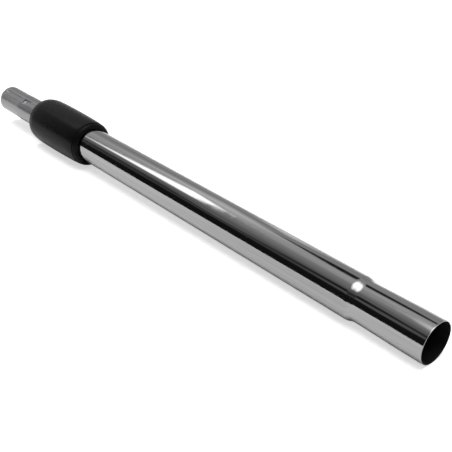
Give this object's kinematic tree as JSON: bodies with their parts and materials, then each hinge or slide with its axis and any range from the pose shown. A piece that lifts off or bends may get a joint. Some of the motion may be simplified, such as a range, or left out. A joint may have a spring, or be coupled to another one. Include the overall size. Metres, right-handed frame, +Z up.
{
  "type": "telescopic vacuum wand",
  "caption": "Telescopic steel vacuum wand: a grooved inner tube slides in a chromed outer tube with a necked hose socket and locks by a sprung black sliding sleeve.",
  "frame": {"origin": "centre of the mouth of the hose socket, on the wand's axis", "axes": "+X along the wand's axis and out of the socket's mouth, +Z up with the wand lying down"},
  "size_m": [0.5906, 0.049, 0.049],
  "materials": {
    "chrome": "bright chrome plate",
    "satin_steel": "satin",
    "black_plastic": "moulded satin",
    "grey_plastic": "moulded matte",
    "spring_steel": "drawn",
    "seal_rubber": "matte",
    "felt": "pressed felt"
  },
  "bodies": {
    "outer": {"outer_tube": "chrome", "guide_bush": "grey_plastic", "bush_seal": "seal_rubber", "lock_leaf": "spring_steel", "leaf_rivets": "spring_steel", "return_spring": "spring_steel"},
    "inner": {"inner_tube": "satin_steel", "rear_guide": "grey_plastic", "rear_seal": "felt"},
    "sleeve": {"lock_sleeve": "black_plastic", "end_ring": "black_plastic"}
  },
  "joints": [
    {"name": "tube_slide", "type": "slide", "parent": "outer", "child": "inner", "axis": [-1, 0, 0], "range_m": [-0.044, 0.308], "deforming": ["lock_leaf"]},
    {"name": "sleeve_slide", "type": "slide", "parent": "outer", "child": "sleeve", "axis": [-1, 0, 0], "range_m": [0, 0.008], "stiffness_N_per_m": 600, "springref_m": -0.01, "deforming": ["return_spring"]}
  ]
}
